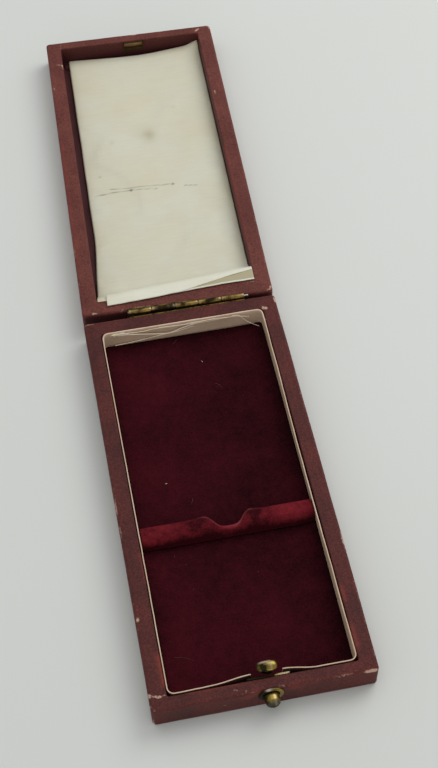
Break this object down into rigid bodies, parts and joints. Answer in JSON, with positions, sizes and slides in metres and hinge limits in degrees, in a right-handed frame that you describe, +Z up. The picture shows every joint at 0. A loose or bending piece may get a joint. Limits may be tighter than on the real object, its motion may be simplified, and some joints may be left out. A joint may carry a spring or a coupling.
{
  "type": "medal presentation case",
  "caption": "Shallow hinged presentation case lying open: velvet tray with a notched cross ridge, satin-padded lid, brass hinge and push-button catch.",
  "frame": {"origin": "centre of the tray's underside, the face that the case rests on", "axes": "+Y from the button towards the hinge and along the open lid, +Z up, +X to the right seen from the button"},
  "size_m": [0.0586, 0.2421, 0.0104],
  "materials": {
    "leathercloth_tray": "fine-grained leathercloth, semi-matt, worn at the edges",
    "leathercloth_lid": "fine-grained leathercloth, semi-matt, a little faded",
    "base_cloth": "matt leathercloth panel",
    "pine": "planed softwood",
    "board": "grey-brown pasteboard",
    "cream_card": "aged cream card with a pale cut edge",
    "velvet_bed": "dark maroon velvet",
    "velvet_ridge": "red velvet",
    "satin": "aged cream satin",
    "wadding": "cotton wadding",
    "brass": "old brass with dark patina",
    "spring_steel": "drawn wire"
  },
  "bodies": {
    "tray": {"tray_base_cloth": "base_cloth", "tray_board": "board", "tray_rail_front": "pine", "tray_rail_rear": "pine", "tray_rail_left": "pine", "tray_rail_right": "pine", "tray_covering": "leathercloth_tray", "bed_card": "board", "velvet_rear_bed": "velvet_bed", "velvet_front_bed": "velvet_bed", "ridge_core": "pine", "ridge_velvet": "velvet_ridge", "liner_card": "cream_card", "satin_remnant": "satin", "catch_plate": "brass", "catch_plate_tack_left": "brass", "catch_plate_tack_right": "brass", "button_collar": "brass", "button_spring": "spring_steel", "hinge_leaf_tray": "brass", "hinge_pin": "spring_steel", "tray_hinge_nail_1": "brass", "tray_hinge_nail_2": "brass", "tray_hinge_nail_3": "brass"},
    "clasp": {"push_button": "brass", "button_stem": "brass", "catch_hook": "brass"},
    "lid": {"lid_base_cloth": "base_cloth", "lid_board": "board", "lid_rail_far": "pine", "lid_rail_near": "pine", "lid_rail_left": "pine", "lid_rail_right": "pine", "lid_covering": "leathercloth_lid", "pad_card": "board", "pad_wadding": "wadding", "satin_lining": "satin", "satin_fold": "satin", "striker_plate": "brass", "striker_tack_left": "brass", "striker_tack_right": "brass", "hinge_leaf_lid": "brass", "lid_hinge_nail_1": "brass", "lid_hinge_nail_2": "brass", "lid_hinge_nail_3": "brass"}
  },
  "joints": [
    {"name": "lid_hinge", "type": "hinge", "parent": "tray", "child": "lid", "pos_m": [0, 0.0601, 0.0083], "axis": [0.9999, -0.0154, 0], "range_deg": [0, 180]},
    {"name": "button_press", "type": "slide", "parent": "tray", "child": "clasp", "axis": [0, 1, 0], "range_m": [0, 0.0012], "stiffness_N_per_m": 400, "deforming": ["button_spring"]}
  ]
}
